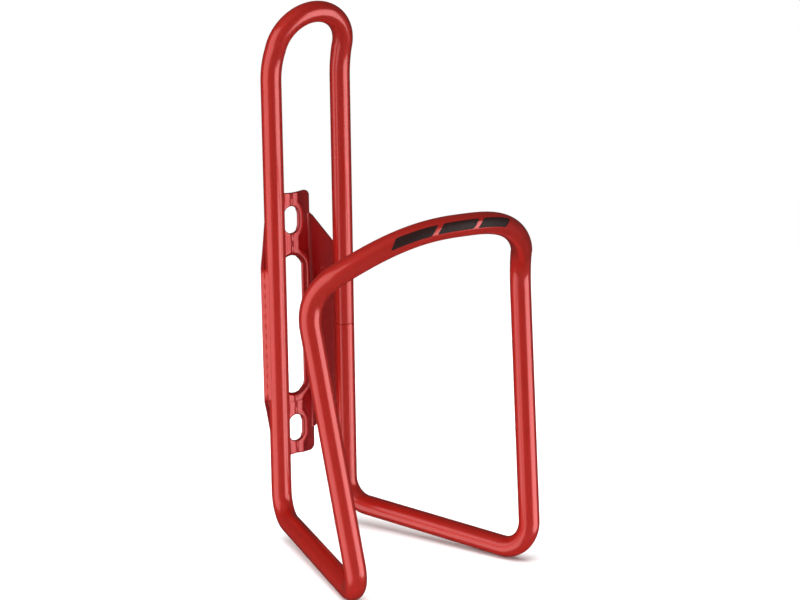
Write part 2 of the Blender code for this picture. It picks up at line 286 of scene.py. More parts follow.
# The scale of a noise or of flakes is about how many of its patches fit in a metre. A bump is
# its strength and its height, and a span is the part of a noise's values that is stretched out
USUAL_SPAN = (0.3, 0.7)

# Lacquer
FLAKE_SCALE = 5500.0
FLAKE_SHARES = (0.2, 0.8)          # how far the flakes go from the deep to the bright red
CLOUD_SCALE = 60.0
CLOUD_SPAN = (0.35, 0.65)
CLOUD_SHARE = 0.25                 # how far the clouds draw the paint back to the deep red
PATCH_SCALE = 240.0
PATCH_SPREAD = (0.88, 1.14)        # how much smoother and rougher the patches are
ORANGE_PEEL_SCALE = 900.0
ORANGE_PEEL_BUMP = (0.10, 0.05 * MM)
GRAIN_SCALE = 5000.0
GRAIN_BUMP = (0.05, 0.01 * MM)
COAT_ROUGHNESS = 0.16
COAT_IOR = 1.65

# Bare aluminium
METAL_TONES = ((0.50, 0.50, 0.52), (0.66, 0.66, 0.68))
TURNING_SCALE = 2600.0             # some 8 rings to a millimetre
TURNING_WAVER = 1.5
TURNING_BUMP = (0.3, 0.02 * MM)
SMUDGE_SCALE = 800.0
SMUDGE_ROUGHNESS = (0.28, 0.42)

# Ink
INK_TONES = ((0.020, 0.007, 0.006), (0.12, 0.014, 0.012))  # whole, and worn through to the red
WORN_SCALE = 2600.0
WORN_SPAN = (0.56, 0.74)
WORN_SHARE = 0.5
INK_PATCH_SCALE = 1200.0
INK_ROUGHNESS = (0.42, 0.58)
INK_SPECULAR = 0.3
INK_GRAIN_SCALE = 4000.0
INK_GRAIN_BUMP = (0.2, 0.01 * MM)

# Floor
FLOOR_TONES = ((0.86, 0.86, 0.86), (0.88, 0.88, 0.88))
FLOOR_CLOUD_SCALE = 4.0
FLOOR_ROUGHNESS = 0.9
FLOOR_FADE_START = 0.10            # in metres from the floor's middle
FLOOR_FADE_END = 0.55


class Nodes:
    """A material's node tree, with short ways to add nodes and join them."""

    def __init__(self, name):
        self.material = bpy.data.materials.new(name)
        self.material.use_nodes = True
        self.tree = self.material.node_tree
        self.shader = self.tree.nodes["Principled BSDF"]
        self.place = self.tree.nodes.new("ShaderNodeTexCoord").outputs["Object"]

    def add(self, kind, **values):
        """A new node, with values for its inputs or its own settings."""
        node = self.tree.nodes.new(kind)
        for key, value in values.items():
            if key in node.inputs:
                node.inputs[key].default_value = value
            else:
                setattr(node, key, value)
        return node

    def join(self, output, node, socket):
        """A link from an output to a node's input."""
        self.tree.links.new(output, node.inputs[socket])

    def noise(self, scale, detail=2.0):
        """Noise that is fixed to the object, as its value output."""
        node = self.add("ShaderNodeTexNoise", Scale=scale, Detail=detail)
        self.join(self.place, node, "Vector")
        return node.outputs["Fac"]

    def remap(self, value, low, high, to_low, to_high):
        """A value moved from one range to another."""
        node = self.add("ShaderNodeMapRange")
        set_range(node, low, high, to_low, to_high)
        self.join(value, node, "Value")
        return node.outputs["Result"]

    def blend(self, share, first, second):
        """A colour between two, by a share from 0 to 1."""
        node = self.add("ShaderNodeMix", data_type="RGBA")
        self.join(share, node, "Factor")
        colours = [entry for entry in node.inputs if entry.type == "RGBA"]
        for place, colour in zip(colours, (first, second)):
            if isinstance(colour, tuple):
                place.default_value = (*colour, 1.0)
            else:
                self.tree.links.new(colour, place)
        return [entry for entry in node.outputs if entry.type == "RGBA"][0]

    def bump(self, heights):
        """Bumps laid over each other, from (value, strength, height in metres)."""
        last = None
        for value, strength, height in heights:
            node = self.add("ShaderNodeBump", Strength=strength, Distance=height)
            self.join(value, node, "Height")
            if last:
                self.join(last, node, "Normal")
            last = node.outputs["Normal"]
        self.join(last, self.shader, "Normal")


def set_range(node, low, high, to_low, to_high):
    """Gives a Map Range node its two ranges."""
    node.inputs["From Min"].default_value = low
    node.inputs["From Max"].default_value = high
    node.inputs["To Min"].default_value = to_low
    node.inputs["To Max"].default_value = to_high


def lacquer(name, deep, bright, roughness, metallic):
    """Red metallic lacquer: fine flakes under a clear coat with a faint orange-peel surface."""
    nodes = Nodes(name)
    flakes = nodes.add("ShaderNodeTexVoronoi", Scale=FLAKE_SCALE)
    nodes.join(nodes.place, flakes, "Vector")
    sparkle = nodes.add("ShaderNodeSeparateColor")
    nodes.join(flakes.outputs["Color"], sparkle, "Color")
    flake_share = nodes.remap(sparkle.outputs["Red"], 0.0, 1.0, *FLAKE_SHARES)
    paint = nodes.blend(flake_share, deep, bright)
    cloudy = nodes.remap(nodes.noise(CLOUD_SCALE, detail=3.0), *CLOUD_SPAN, 0.0, CLOUD_SHARE)
    nodes.join(nodes.blend(cloudy, paint, deep), nodes.shader, "Base Color")
    smoother, rougher = (roughness * spread for spread in PATCH_SPREAD)
    patchy = nodes.remap(nodes.noise(PATCH_SCALE, detail=4.0), *USUAL_SPAN, smoother, rougher)
    nodes.join(patchy, nodes.shader, "Roughness")
    nodes.shader.inputs["Metallic"].default_value = metallic
    nodes.shader.inputs["Coat Weight"].default_value = 1.0
    nodes.shader.inputs["Coat Roughness"].default_value = COAT_ROUGHNESS
    nodes.shader.inputs["Coat IOR"].default_value = COAT_IOR
    orange_peel = (nodes.noise(ORANGE_PEEL_SCALE), *ORANGE_PEEL_BUMP)
    grain = (nodes.noise(GRAIN_SCALE, detail=1.0), *GRAIN_BUMP)
    nodes.bump([orange_peel, grain])
    return nodes.material


def turned_aluminium():
    """Bare aluminium with the fine rings that turning leaves."""
    nodes = Nodes("turned_aluminium")
    rings = nodes.add("ShaderNodeTexWave", bands_direction="Z")
    rings.inputs["Scale"].default_value = TURNING_SCALE
    rings.inputs["Distortion"].default_value = TURNING_WAVER
    nodes.join(nodes.place, rings, "Vector")
    metal = nodes.blend(rings.outputs["Fac"], *METAL_TONES)
    nodes.join(metal, nodes.shader, "Base Color")
    smudged = nodes.remap(nodes.noise(SMUDGE_SCALE), *USUAL_SPAN, *SMUDGE_ROUGHNESS)
    nodes.join(smudged, nodes.shader, "Roughness")
    nodes.shader.inputs["Metallic"].default_value = 1.0
    nodes.bump([(rings.outputs["Fac"], *TURNING_BUMP)])
    return nodes.material


def print_ink():
    """Dark printed ink, a little uneven, with fine specks where it has worn thin."""
    nodes = Nodes("print_ink")
    worn = nodes.remap(nodes.noise(WORN_SCALE, detail=3.0), *WORN_SPAN, 0.0, WORN_SHARE)
    ink = nodes.blend(worn, *INK_TONES)
    nodes.join(ink, nodes.shader, "Base Color")
    patchy = nodes.remap(nodes.noise(INK_PATCH_SCALE), *USUAL_SPAN, *INK_ROUGHNESS)
    nodes.join(patchy, nodes.shader, "Roughness")
    nodes.shader.inputs["Specular IOR Level"].default_value = INK_SPECULAR
    nodes.bump([(nodes.noise(INK_GRAIN_SCALE), *INK_GRAIN_BUMP)])
    return nodes.material


def pale_floor():
    """The floor's plain near-white, which fades into the white surroundings far from the cage."""
    nodes = Nodes("pale_floor")
    tone = nodes.remap(nodes.noise(FLOOR_CLOUD_SCALE), *USUAL_SPAN, 0.0, 1.0)
    nodes.join(nodes.blend(tone, *FLOOR_TONES), nodes.shader, "Base Color")
    nodes.shader.inputs["Roughness"].default_value = FLOOR_ROUGHNESS
    distance = nodes.add("ShaderNodeVectorMath", operation="LENGTH")
    nodes.join(nodes.place, distance, "Vector")
    solid = nodes.remap(distance.outputs["Value"], FLOOR_FADE_START, FLOOR_FADE_END, 1.0, 0.0)
    nodes.join(solid, nodes.shader, "Alpha")
    return nodes.material


# ---------------------------------------------------------------- mounting plate

# The sheet's section, with the CAD model's sizes
SHEET = 1.15 * MM
CLEARANCE = 0.3 * MM
BAND_HALF_WIDTH = 2.3 * MM
BAND_EDGE_RADIUS = 0.9 * MM
VALLEY_X = 7.2 * MM
VALLEY_DEPTH = 1.7 * MM
VALLEY_RADIUS = 1.2 * MM
ROLL_END = radians(33)             # how far behind the rails' outer sides the rolled edges stop
PAD_PROUD = 0.15 * MM

# The sheet's outline and holes
END_DIP = 0.4 * MM                 # the end edges' middle lies this far inside their corners
END_DIP_RADIUS = 8.0 * MM
TAB_HALF_WIDTH = 7.5 * MM
TAB_CORNER_RADIUS = 1.8 * MM
WING_START_Z = 33.1 * MM           # where the wings' sloping edges leave the tabs
WING_START_RADIUS = 1.2 * MM
WING_EDGE_Z = 24.6 * MM            # the sloping edges beside the rails
WING_EDGE_RADIUS = 6.0 * MM
LIP_Z = 20.3 * MM                  # half length of the rolled edge
LIP_CORNER_RADIUS = 0.6 * MM
BOLT_SPACING = 64.0 * MM
SLOT_WIDTH = 5.6 * MM
SLOT_LENGTH = 8.2 * MM
PAD_RIM = 1.4 * MM
PAD_BLEND = 0.55 * MM              # width of the slope round a slot's seat
FRAME_WIDTH = 2.0 * MM             # of the level strip round the window
FRAME_BLEND = 0.5 * MM
TURNED_EDGE = 0.6 * MM             # how far back the window's edge is turned
TURNED_REACH = 1.2 * MM
TAB_FLAT_Z = 32.6 * MM             # past here the band's sides run straight on, with no valley
TAB_BLEND = 0.9 * MM
WINDOW_HALF_WIDTH = 4.15 * MM
WINDOW_HALF_HEIGHT = 21.2 * MM
WINDOW_ARCH_RISE = 3.1 * MM

# Pressed details
CREASE_DEPTH = 0.28 * MM
CREASE_HALF_WIDTH = 0.26 * MM
CROSS_LINES_Z = (-22.6 * MM, -23.9 * MM)
CROSS_LINE_DEPTH = 0.10 * MM
CROSS_LINE_REACH = 1.6 * BAND_HALF_WIDTH  # to their faded ends
PANEL_HALF_HEIGHT = 17.0 * MM      # raised panel on each wing
PANEL_START = 1.4 * MM             # from the valley to the panel
PANEL_HEIGHT = 0.32 * MM
PANEL_CORNER = 3.0 * MM
PANEL_SLOPE = 0.7 * MM

# How the sheet is meshed
EDGE_ROUNDING = 0.3 * MM
EDGE_RING_INSETS = (0.0, 0.04 * MM, 0.12 * MM, 0.3 * MM)   # in from every edge
SEAT_RING_PARTS = (-0.9, -0.1, 0.15, 0.4, 0.65, 0.9, 1.1)  # across the slope round a seat
TURNED_RING_PARTS = (0.5, 0.75, 1.0)                       # across the window's turned edge
FRAME_RING_PARTS = (-0.1, 0.25, 0.5, 0.75, 1.1)            # across the slope outside its strip
CREASE_LINE_PARTS = (0.5, 1.0, 1.6)                        # across one side of the crease
GRID_STEP = 0.36 * MM
OUTLINE_STEP = 0.28 * MM
FLAT_TOLERANCE = 1e-6              # millimetres, when the flat sheet is triangulated


class SheetSection:
    """The sheet's front surface across one half, followed by its length from the middle."""

    def __init__(self):
        band_front = PAD_PROUD + SHEET - RAIL_STANDOFF
        middle = Vector((0, band_front, 0))
        band_edge = Vector((BAND_HALF_WIDTH, band_front, 0))
        valley = Vector((VALLEY_X, band_front - VALLEY_DEPTH, 0))
        rail = Vector((RAIL_X, 0, 0))
        roll_radius = TUBE_RADIUS + CLEARANCE
        to_rail = rail - valley
        wing_angle = atan2(to_rail.y, to_rail.x) - asin(roll_radius / to_rail.length)
        roll_start = wing_angle - pi / 2
        touch = rail + Vector((cos(roll_start), sin(roll_start), 0)) * roll_radius
        roll_turn = -ROLL_END - roll_start
        steps = round(roll_turn / BEND_STEP)
        roll = []
        for step in range(steps + 1):
            angle = roll_start + roll_turn * step / steps
            roll.append(rail + Vector((cos(angle), sin(angle), 0)) * roll_radius)
        corners = [middle] + round_bend(middle, band_edge, valley, BAND_EDGE_RADIUS)
        corners += round_bend(band_edge, valley, touch, VALLEY_RADIUS) + roll
        self.band_front = band_front
        self.points = corners
        self.lengths = [0.0]
        for start, end in zip(corners, corners[1:]):
            self.lengths.append(self.lengths[-1] + (end - start).length)
        self.valley = self.length_at(VALLEY_X)
        self.touch = self.length_at(touch.x)
        self.end = self.lengths[-1]

    def length_at(self, x):
        """The length along the section to a distance from the middle plane."""
        for index, (start, end) in enumerate(zip(self.points, self.points[1:])):
            if x <= end.x:
                part = (x - start.x) / (end.x - start.x)
                return self.lengths[index] + part * (end - start).length
        return self.lengths[-1]

    def surface(self, along):
        """Place and front-facing normal at a signed length from the middle, as (x, forward)."""
        length = min(abs(along), self.end)
        index = min(max(bisect_left(self.lengths, length), 1), len(self.points) - 1)
        start, end = self.points[index - 1], self.points[index]
        low, high = self.lengths[index - 1], self.lengths[index]
        part = (length - low) / (high - low)
        place = start.lerp(end, part)
        normal = self.corner_normal(index - 1).lerp(self.corner_normal(index), part)
        normal.normalize()
        side = -1 if along < 0 else 1
        return Vector((place.x * side, place.y)), Vector((normal.x * side, normal.y))

    def corner_normal(self, index):
        """The normal at one of the section's own points."""
        if index == 0:
            return Vector((0, 1))
        after = self.points[min(index + 1, len(self.points) - 1)]
        run = (after - self.points[index - 1]).normalized()
        return Vector((-run.y, run.x))


def rounded_polygon(corners):
    """An outline through (s, z, radius) corners, each rounded off; s runs along the section."""
    places = [Vector((along, z, 0)) for along, z, _ in corners]
    outline = []
    for index, (_, _, radius) in enumerate(corners):
        before = places[index - 1]
        after = places[(index + 1) % len(places)]
        outline += round_bend(before, places[index], after, radius)
    return evenly([(p.x, p.y) for p in outline])


def evenly(outline):
    """The same closed outline with its points about equally far apart."""
    sides = list(zip(outline, outline[1:] + outline[:1]))
    lengths = [0.0]
    for start, end in sides:
        lengths.append(lengths[-1] + dist(start, end))
    count = round(lengths[-1] / OUTLINE_STEP)
    spread = []
    for number in range(count):
        target = lengths[-1] * number / count
        index = min(max(bisect_left(lengths, target), 1), len(sides))
        start, end = sides[index - 1]
        part = (target - lengths[index - 1]) / (lengths[index] - lengths[index - 1])
        along = start[0] + (end[0] - start[0]) * part
        z = start[1] + (end[1] - start[1]) * part
        spread.append((along, z))
    return spread


def sheet_outline(section):
    """The plate's outline in the flattened sheet, as (s, z)."""
    tab = section.length_at(TAB_HALF_WIDTH)
    quarter = [
        (tab, PLATE_TOP_Z, TAB_CORNER_RADIUS),
        (tab, WING_START_Z, WING_START_RADIUS),
        (section.length_at(RAIL_X), WING_EDGE_Z, WING_EDGE_RADIUS),
        (section.end, LIP_Z, LIP_CORNER_RADIUS),
    ]
    right = quarter + [(along, -z, radius) for along, z, radius in quarter[::-1]]
    left = [(-along, z, radius) for along, z, radius in right[::-1]]
    top = (0.0, PLATE_TOP_Z - END_DIP, END_DIP_RADIUS)
    bottom = (0.0, END_DIP - PLATE_TOP_Z, END_DIP_RADIUS)
    return rounded_polygon([top] + right + [bottom] + left)


def slot_outline(section, middle_z):
    """A bolt slot with round ends, as (s, z)."""
    radius = SLOT_WIDTH / 2
    reach = (SLOT_LENGTH - SLOT_WIDTH) / 2
    steps = round(pi / BEND_STEP)
    outline = []
    for start, end_z in ((0, middle_z + reach), (pi, middle_z - reach)):
        for step in range(steps + 1):
            angle = start + pi * step / steps
            outline.append((radius * cos(angle), end_z + radius * sin(angle)))
    return evenly([flattened(section, x, z) for x, z in outline])


def window_outline(section):
    """The window between the slots, with arched ends, as (s, z)."""
    radius = (WINDOW_HALF_WIDTH ** 2 + WINDOW_ARCH_RISE ** 2) / (2 * WINDOW_ARCH_RISE)
    half_turn = asin(WINDOW_HALF_WIDTH / radius)
    steps = round(2 * half_turn / BEND_STEP)
    top = []
    for step in range(steps + 1):
        angle = pi / 2 - half_turn + 2 * half_turn * step / steps
        z = WINDOW_HALF_HEIGHT - radius + radius * sin(angle)
        top.append((radius * cos(angle), z))
    bottom = [(x, -z) for x, z in top[::-1]]
    return evenly([flattened(section, x, z) for x, z in top + bottom])


def flattened(section, x, z):
    """A point of the plate seen from the front, as (s, z) in the flattened sheet."""
    length = section.length_at(abs(x))
    return (-length if x < 0 else length, z)


def inset(outline, distance, inwards):
    """The outline moved sideways into the sheet."""
    moved = []
    count = len(outline)
    for index in range(count):
        before = outline[index - 1]
        after = outline[(index + 1) % count]
        run = Vector((after[0] - before[0], after[1] - before[1])).normalized()
        side = Vector((run.y, -run.x)) * inwards
        along, z = outline[index]
        moved.append((along + side.x * distance, z + side.y * distance))
    return moved


def turns_left(outline):
    """True for an outline whose points run anticlockwise."""
    pairs = zip(outline, outline[1:] + outline[:1])
    return sum(a[0] * b[1] - b[0] * a[1] for a, b in pairs) > 0


def inside_outline(places, outline):
    """For each place, whether it lies inside an outline."""
    x, z = places[:, 0], places[:, 1]
    inside = np.zeros(len(places), bool)
    for (ax, az), (bx, bz) in zip(outline, outline[1:] + outline[:1]):
        if az == bz:
            continue
        crosses = (az > z) != (bz > z)
        inside ^= crosses & (x < ax + (bx - ax) * (z - az) / (bz - az))
    return inside


def distance_to_outline(places, outline):
    """For each place, how far the nearest side of an outline is."""
    nearest = np.full(len(places), np.inf)
    for start, end in zip(outline, outline[1:] + outline[:1]):
        start, end = np.array(start), np.array(end)
        side = end - start
        part = np.clip((places - start) @ side / (side @ side), 0, 1)
        gap = np.linalg.norm(places - start - part[:, None] * side, axis=1)
        nearest = np.minimum(nearest, gap)
    return nearest


def eased(value):
    """A share from 0 to 1 that starts and ends gently."""
    share = min(max(value, 0.0), 1.0)
    return share * share * (3 - 2 * share)


def edge_loss(depth):
    """How much a rounded edge takes off a surface, at a depth in from the edge."""
    if depth >= EDGE_ROUNDING:
        return 0.0
    return EDGE_ROUNDING - sqrt(EDGE_ROUNDING ** 2 - (EDGE_ROUNDING - depth) ** 2)


def seat_share(x, z):
    """1 on the flat seat round a bolt slot, 0 away from it, and a slope between."""
    reach = (SLOT_LENGTH - SLOT_WIDTH) / 2
    beyond = max(abs(abs(z) - BOLT_SPACING / 2) - reach, 0.0)
    gap = sqrt(x * x + beyond * beyond) - SLOT_WIDTH / 2
    return eased((PAD_RIM + PAD_BLEND - gap) / PAD_BLEND)


def panel_share(section, along, z):
    """1 on a wing's raised panel, 0 off it."""
    low = section.valley + PANEL_START
    high = section.touch - PANEL_START
    from_middle = abs(abs(along) - (low + high) / 2) - (high - low) / 2 + PANEL_CORNER
    from_end = abs(z) - PANEL_HALF_HEIGHT + PANEL_CORNER
    outside = sqrt(max(from_middle, 0.0) ** 2 + max(from_end, 0.0) ** 2)
    gap = outside + min(max(from_middle, from_end), 0.0) - PANEL_CORNER
    return eased(-gap / PANEL_SLOPE)


def level_rise(section, place, z, window_gap):
    """The move that levels the window's strip, turns its edge back and straightens the tabs."""
    level = section.band_front - place.y
    framed = eased((FRAME_WIDTH + FRAME_BLEND - window_gap) / FRAME_BLEND)
    beyond = (abs(place.x) - BAND_HALF_WIDTH) / (VALLEY_X - BAND_HALF_WIDTH)
    straight = min(level - VALLEY_DEPTH * beyond, 0.0)
    tab = eased((abs(z) - TAB_FLAT_Z) / TAB_BLEND)
    turned = TURNED_EDGE * max(0.0, 1 - window_gap / TURNED_REACH) ** 2
    return Vector((0, level * framed + straight * tab - turned))


def front_marks(along, z):
    """Marks pressed into the front face only: the crease and the cross lines."""
    crease = CREASE_DEPTH * exp(-(along / CREASE_HALF_WIDTH) ** 2)
    lines = sum(exp(-((z - line) / CREASE_HALF_WIDTH) ** 2) for line in CROSS_LINES_Z)
    lines *= CROSS_LINE_DEPTH * eased((CROSS_LINE_REACH - abs(along)) / BAND_HALF_WIDTH)
    return -crease - lines


def sheet_faces(section, along, z, depth, window_gap):
    """The sheet's front and back points at a place in the flattened sheet."""
    place, normal = section.surface(along)
    loss = edge_loss(depth)
    rise = PANEL_HEIGHT * panel_share(section, along, z)
    mark = front_marks(along, z)
    raised = level_rise(section, place, z, window_gap)
    front = place + normal * (rise + mark - loss) + raised
    back = place + normal * (rise + loss - SHEET) + raised
    seat = seat_share(place.x, z)
    front.y += (SHEET + PAD_PROUD - RAIL_STANDOFF + mark - loss - front.y) * seat
    back.y += (loss - RAIL_STANDOFF - back.y) * seat
    return point(front.x, front.y, z), point(back.x, back.y, z)


def grid_lines(limit, extra):
    """Evenly spaced lines up to a limit either side of 0, closer together at extra places."""
    count = int(limit / GRID_STEP)
    lines = [GRID_STEP * number for number in range(-count, count + 1)]
    lines += [side * place for place in extra for side in (-1, 1)]
    chosen = []
    for line in sorted(lines):
        if not chosen or line - chosen[-1] > GRID_STEP / 4:
            chosen.append(line)
    return chosen


def sheet_outlines(section):
    """The flat sheet's outlines, each with whether it is a hole and its further rings of points."""
    seat_rings = tuple(PAD_RIM + PAD_BLEND * part for part in SEAT_RING_PARTS)
    frame_rings = tuple(TURNED_REACH * part for part in TURNED_RING_PARTS)
    frame_rings += tuple(FRAME_WIDTH + FRAME_BLEND * part for part in FRAME_RING_PARTS)
    return [
        (sheet_outline(section), False, ()),
        (slot_outline(section, BOLT_SPACING / 2), True, seat_rings),
        (slot_outline(section, -BOLT_SPACING / 2), True, seat_rings),
        (window_outline(section), True, frame_rings),
    ]


def on_sheet(places, outlines):
    """For each place, whether it lies inside the sheet and in none of its holes."""
    solid = np.ones(len(places), bool)
    for outline, hole, _ in outlines:
        solid &= inside_outline(places, outline) != hole
    return solid


def flat_points(section, outlines):
    """Points over the flat sheet, their depths in from the edges, and the lines between them."""
    places, depths, lines = [], [], []
    for outline, hole, more_rings in outlines:
        inwards = (1 if hole else -1) * (1 if turns_left(outline) else -1)
        for depth in EDGE_RING_INSETS + more_rings:
            first = len(places)
            places += inset(outline, depth, inwards)
            depths += [depth] * len(outline)
            for number in range(len(outline)):
                lines.append((first + number, first + (number + 1) % len(outline)))
    fold_lines = [length for length in section.lengths if length > 0]
    crease_lines = [CREASE_HALF_WIDTH * part for part in CREASE_LINE_PARTS]
    columns = grid_lines(section.end, fold_lines + crease_lines)
    rows = grid_lines(PLATE_TOP_Z, CROSS_LINES_Z)
    inner = np.array([(column, row) for column in columns for row in rows])
    keep = on_sheet(inner, outlines)
    for outline, _, more_rings in outlines:
        last = (EDGE_RING_INSETS + more_rings)[-1]
        keep &= distance_to_outline(inner, outline) > last + GRID_STEP / 2
    inner = inner[keep]
    places += [tuple(place) for place in inner]
    depths += [EDGE_ROUNDING] * len(inner)
    return places, depths, lines


def outer_sides(triangles):
    """The sides that belong to one triangle only."""
    sides = {}
    for a, b, c in triangles:
        for start, end in ((a, b), (b, c), (c, a)):
            if (end, start) in sides:
                del sides[(end, start)]
            else:
                sides[(start, end)] = True
    return list(sides)


def sheet_mesh(section):
    """The whole formed sheet as a bmesh, triangulated flat and then folded into shape."""
    outlines = sheet_outlines(section)
    places, depths, lines = flat_points(section, outlines)
    flat = [Vector((along / MM, z / MM)) for along, z in places]
    made, _, triangles, sources, _, _ = delaunay_2d_cdt(flat, lines, [], 0, FLAT_TOLERANCE)
    made = np.array([tuple(place) for place in made]) * MM
    window_gaps = distance_to_outline(made, window_outline(section))
    shape = bmesh.new()
    fronts, backs = [], []
    for (along, z), group, gap in zip(made, sources, window_gaps):
        depth = min((depths[source] for source in group), default=EDGE_ROUNDING)
        front, back = sheet_faces(section, along, z, depth, gap)
        fronts.append(shape.verts.new(front))
        backs.append(shape.verts.new(back))
    middles = np.array([made[list(triangle)].mean(axis=0) for triangle in triangles])
    solid = on_sheet(middles, outlines)
    used = [triangle for triangle, kept in zip(triangles, solid) if kept]
    for a, b, c in used:
        shape.faces.new((fronts[a], fronts[b], fronts[c]))
        shape.faces.new((backs[c], backs[b], backs[a]))
    for start, end in outer_sides(used):
        shape.faces.new((fronts[end], fronts[start], backs[start], backs[end]))
    loose = [vert for vert in shape.verts if not vert.link_faces]
    bmesh.ops.delete(shape, geom=loose, context="VERTS")
    return shape


def mounting_plate(material):
    """The pressed mounting plate."""
    plate = mesh_object("pressed_plate", sheet_mesh(SheetSection()))
    stands_for(plate, "mounting_plate", material)


# ---------------------------------------------------------------- small pieces

WELD_PITCH = 3.0 * MM
WELD_STEP = 0.15 * MM
WELD_CROWN = 0.03 * MM             # how far the bead's face bulges
WELD_DROP = 0.14 * MM              # height of the round drops along the bead
WELD_DROP_PLACE = 0.6              # across the bead, from the rolled edge to the rail
WELD_DROP_REACH = 0.13             # their half width, as a share of the bead's width
WELD_TAPER = 2.6 * MM              # length of the bead's rounded ends
WELD_FACE_STEPS = 16
WELD_OVERLAP = radians(8)          # how far the bead runs on over the rolled edge
WELD_ROOT = 0.4 * MM               # how deep the bead reaches into the rail
PIN_STEP = 0.15 * MM
PIN_CHAMFER = 0.5 * MM
PIN_GROOVE_PITCH = 3.0 * MM
PIN_GROOVE_DEPTH = 0.12 * MM
STRIPE_NODES = ("front_stripe_left", "front_stripe_middle", "front_stripe_right")
STRIPE_TURN = radians(14)          # length of a stripe, round the hoop's plan arc
STRIPE_PITCH = radians(16)
STRIPE_MIDDLE = radians(-4.6)      # the middle stripe's place, a little left of the hoop's middle
STRIPE_HALF_ANGLE = radians(25)    # round the tube
STRIPE_TILT = radians(10)          # round the tube, from the front towards the top
STRIPE_SLANT = radians(1.5)        # how far a stripe's ends lean along the hoop
STRIPE_TOP = 0.03 * MM             # how far the ink stands out of the tube
STRIPE_ROOT = 0.03 * MM            # how far it reaches into the lacquer
STRIPE_CORNER = 0.22               # share of a stripe's height that its corners take up
STRIPE_COLUMNS = 60
STRIPE_ROWS = 20
TINY_TURN = radians(0.1)


def close_bar(shape, rings):
    """Joins the rings along a bar and fills its two ends."""
    bridge(shape, rings)
    shape.faces.new(rings[0][::-1])
    shape.faces.new(rings[-1])


def joint_pin(material):
    """The pin inside the seam: chamfered ends and shallow grooves for the glue."""
    radius = (PIN_HIGH.x - PIN_LOW.x) / 2
    half_length = (PIN_HIGH.z - PIN_LOW.z) / 2
    level_pair = (Vector((1, 0, 0)), Vector((0, 1, 0)))
    steps = round(2 * half_length / PIN_STEP)
    shape = bmesh.new()
    rings = []
    for step in range(steps + 1):
        z = -half_length + 2 * half_length * step / steps
        groove = PIN_GROOVE_DEPTH * max(0.0, cos(2 * pi * z / PIN_GROOVE_PITCH)) ** 4
        chamfer = max(0.0, PIN_CHAMFER - (half_length - abs(z)))
        centre = SEAM_CENTRE + Vector((0, 0, z))
        rings.append(round_ring(shape, centre, level_pair, radius - max(groove, chamfer)))
    close_bar(shape, rings)
    stands_for(mesh_object("seam_pin", shape), "joint_pin", material)


def polar(angle, radius):
    """A point round the +X rail's centre, as (across, forward)."""
    return Vector((cos(angle), sin(angle))) * radius


def weld_ring(z, half_length):
    """The weld bead's section at a height, as (across, forward) points round it."""
    lip_radius = TUBE_RADIUS + CLEARANCE + SHEET
    face_turn = acos(TUBE_RADIUS / lip_radius) - ROLL_END
    start = polar(-ROLL_END, lip_radius)
    end = polar(face_turn, TUBE_RADIUS)
    outward = polar(face_turn, 1.0)
    drop = WELD_DROP * cos(pi * z / WELD_PITCH) ** 2
    ring = [polar(-ROLL_END - WELD_OVERLAP, lip_radius)]
    for step in range(WELD_FACE_STEPS + 1):
        part = step / WELD_FACE_STEPS
        rise = WELD_CROWN * sin(pi * part)
        rise += drop * exp(-((part - WELD_DROP_PLACE) / WELD_DROP_REACH) ** 2)
        ring.append(start.lerp(end, part) + outward * rise)
    root = TUBE_RADIUS - WELD_ROOT
    for angle in (face_turn, (face_turn - ROLL_END) / 2, -ROLL_END):
        ring.append(polar(angle, root))
    short = max(0.0, 1 - (half_length - abs(z)) / WELD_TAPER)
    fullness = sqrt(1 - short ** 2)
    return [place.normalized() * (root + (place.length - root) * fullness) for place in ring]


def weld_seam(side, node, material):
    """A rippled weld bead that fills the corner between a rolled edge and its rail."""
    half_length = (WELD_HIGH.z - WELD_LOW.z) / 2
    steps = round(2 * half_length / WELD_STEP)
    shape = bmesh.new()
    rings = []
    for step in range(steps + 1):
        z = -half_length + 2 * half_length * step / steps
        ring = []
        for place in weld_ring(z, half_length):
            ring.append(shape.verts.new(point(side * (RAIL_X + place.x), place.y, z)))
        rings.append(ring)
    close_bar(shape, rings)
    stands_for(mesh_object(node + "_bead", shape), node, material)


def stripe_point(middle_turn, along, around, radius):
    """A point on a stripe, from its shares along and round the hoop's tube."""
    turn = middle_turn + along * STRIPE_TURN / 2 + around * STRIPE_SLANT
    run = (hoop_point(turn + TINY_TURN) - hoop_point(turn - TINY_TURN)).normalized()
    outward = Vector((sin(turn), -cos(turn), 0))
    outward = (outward - run * outward.dot(run)).normalized()
    upward = outward.cross(run)
    lean = STRIPE_TILT + around * STRIPE_HALF_ANGLE
    return hoop_point(turn) + (outward * cos(lean) + upward * sin(lean)) * radius


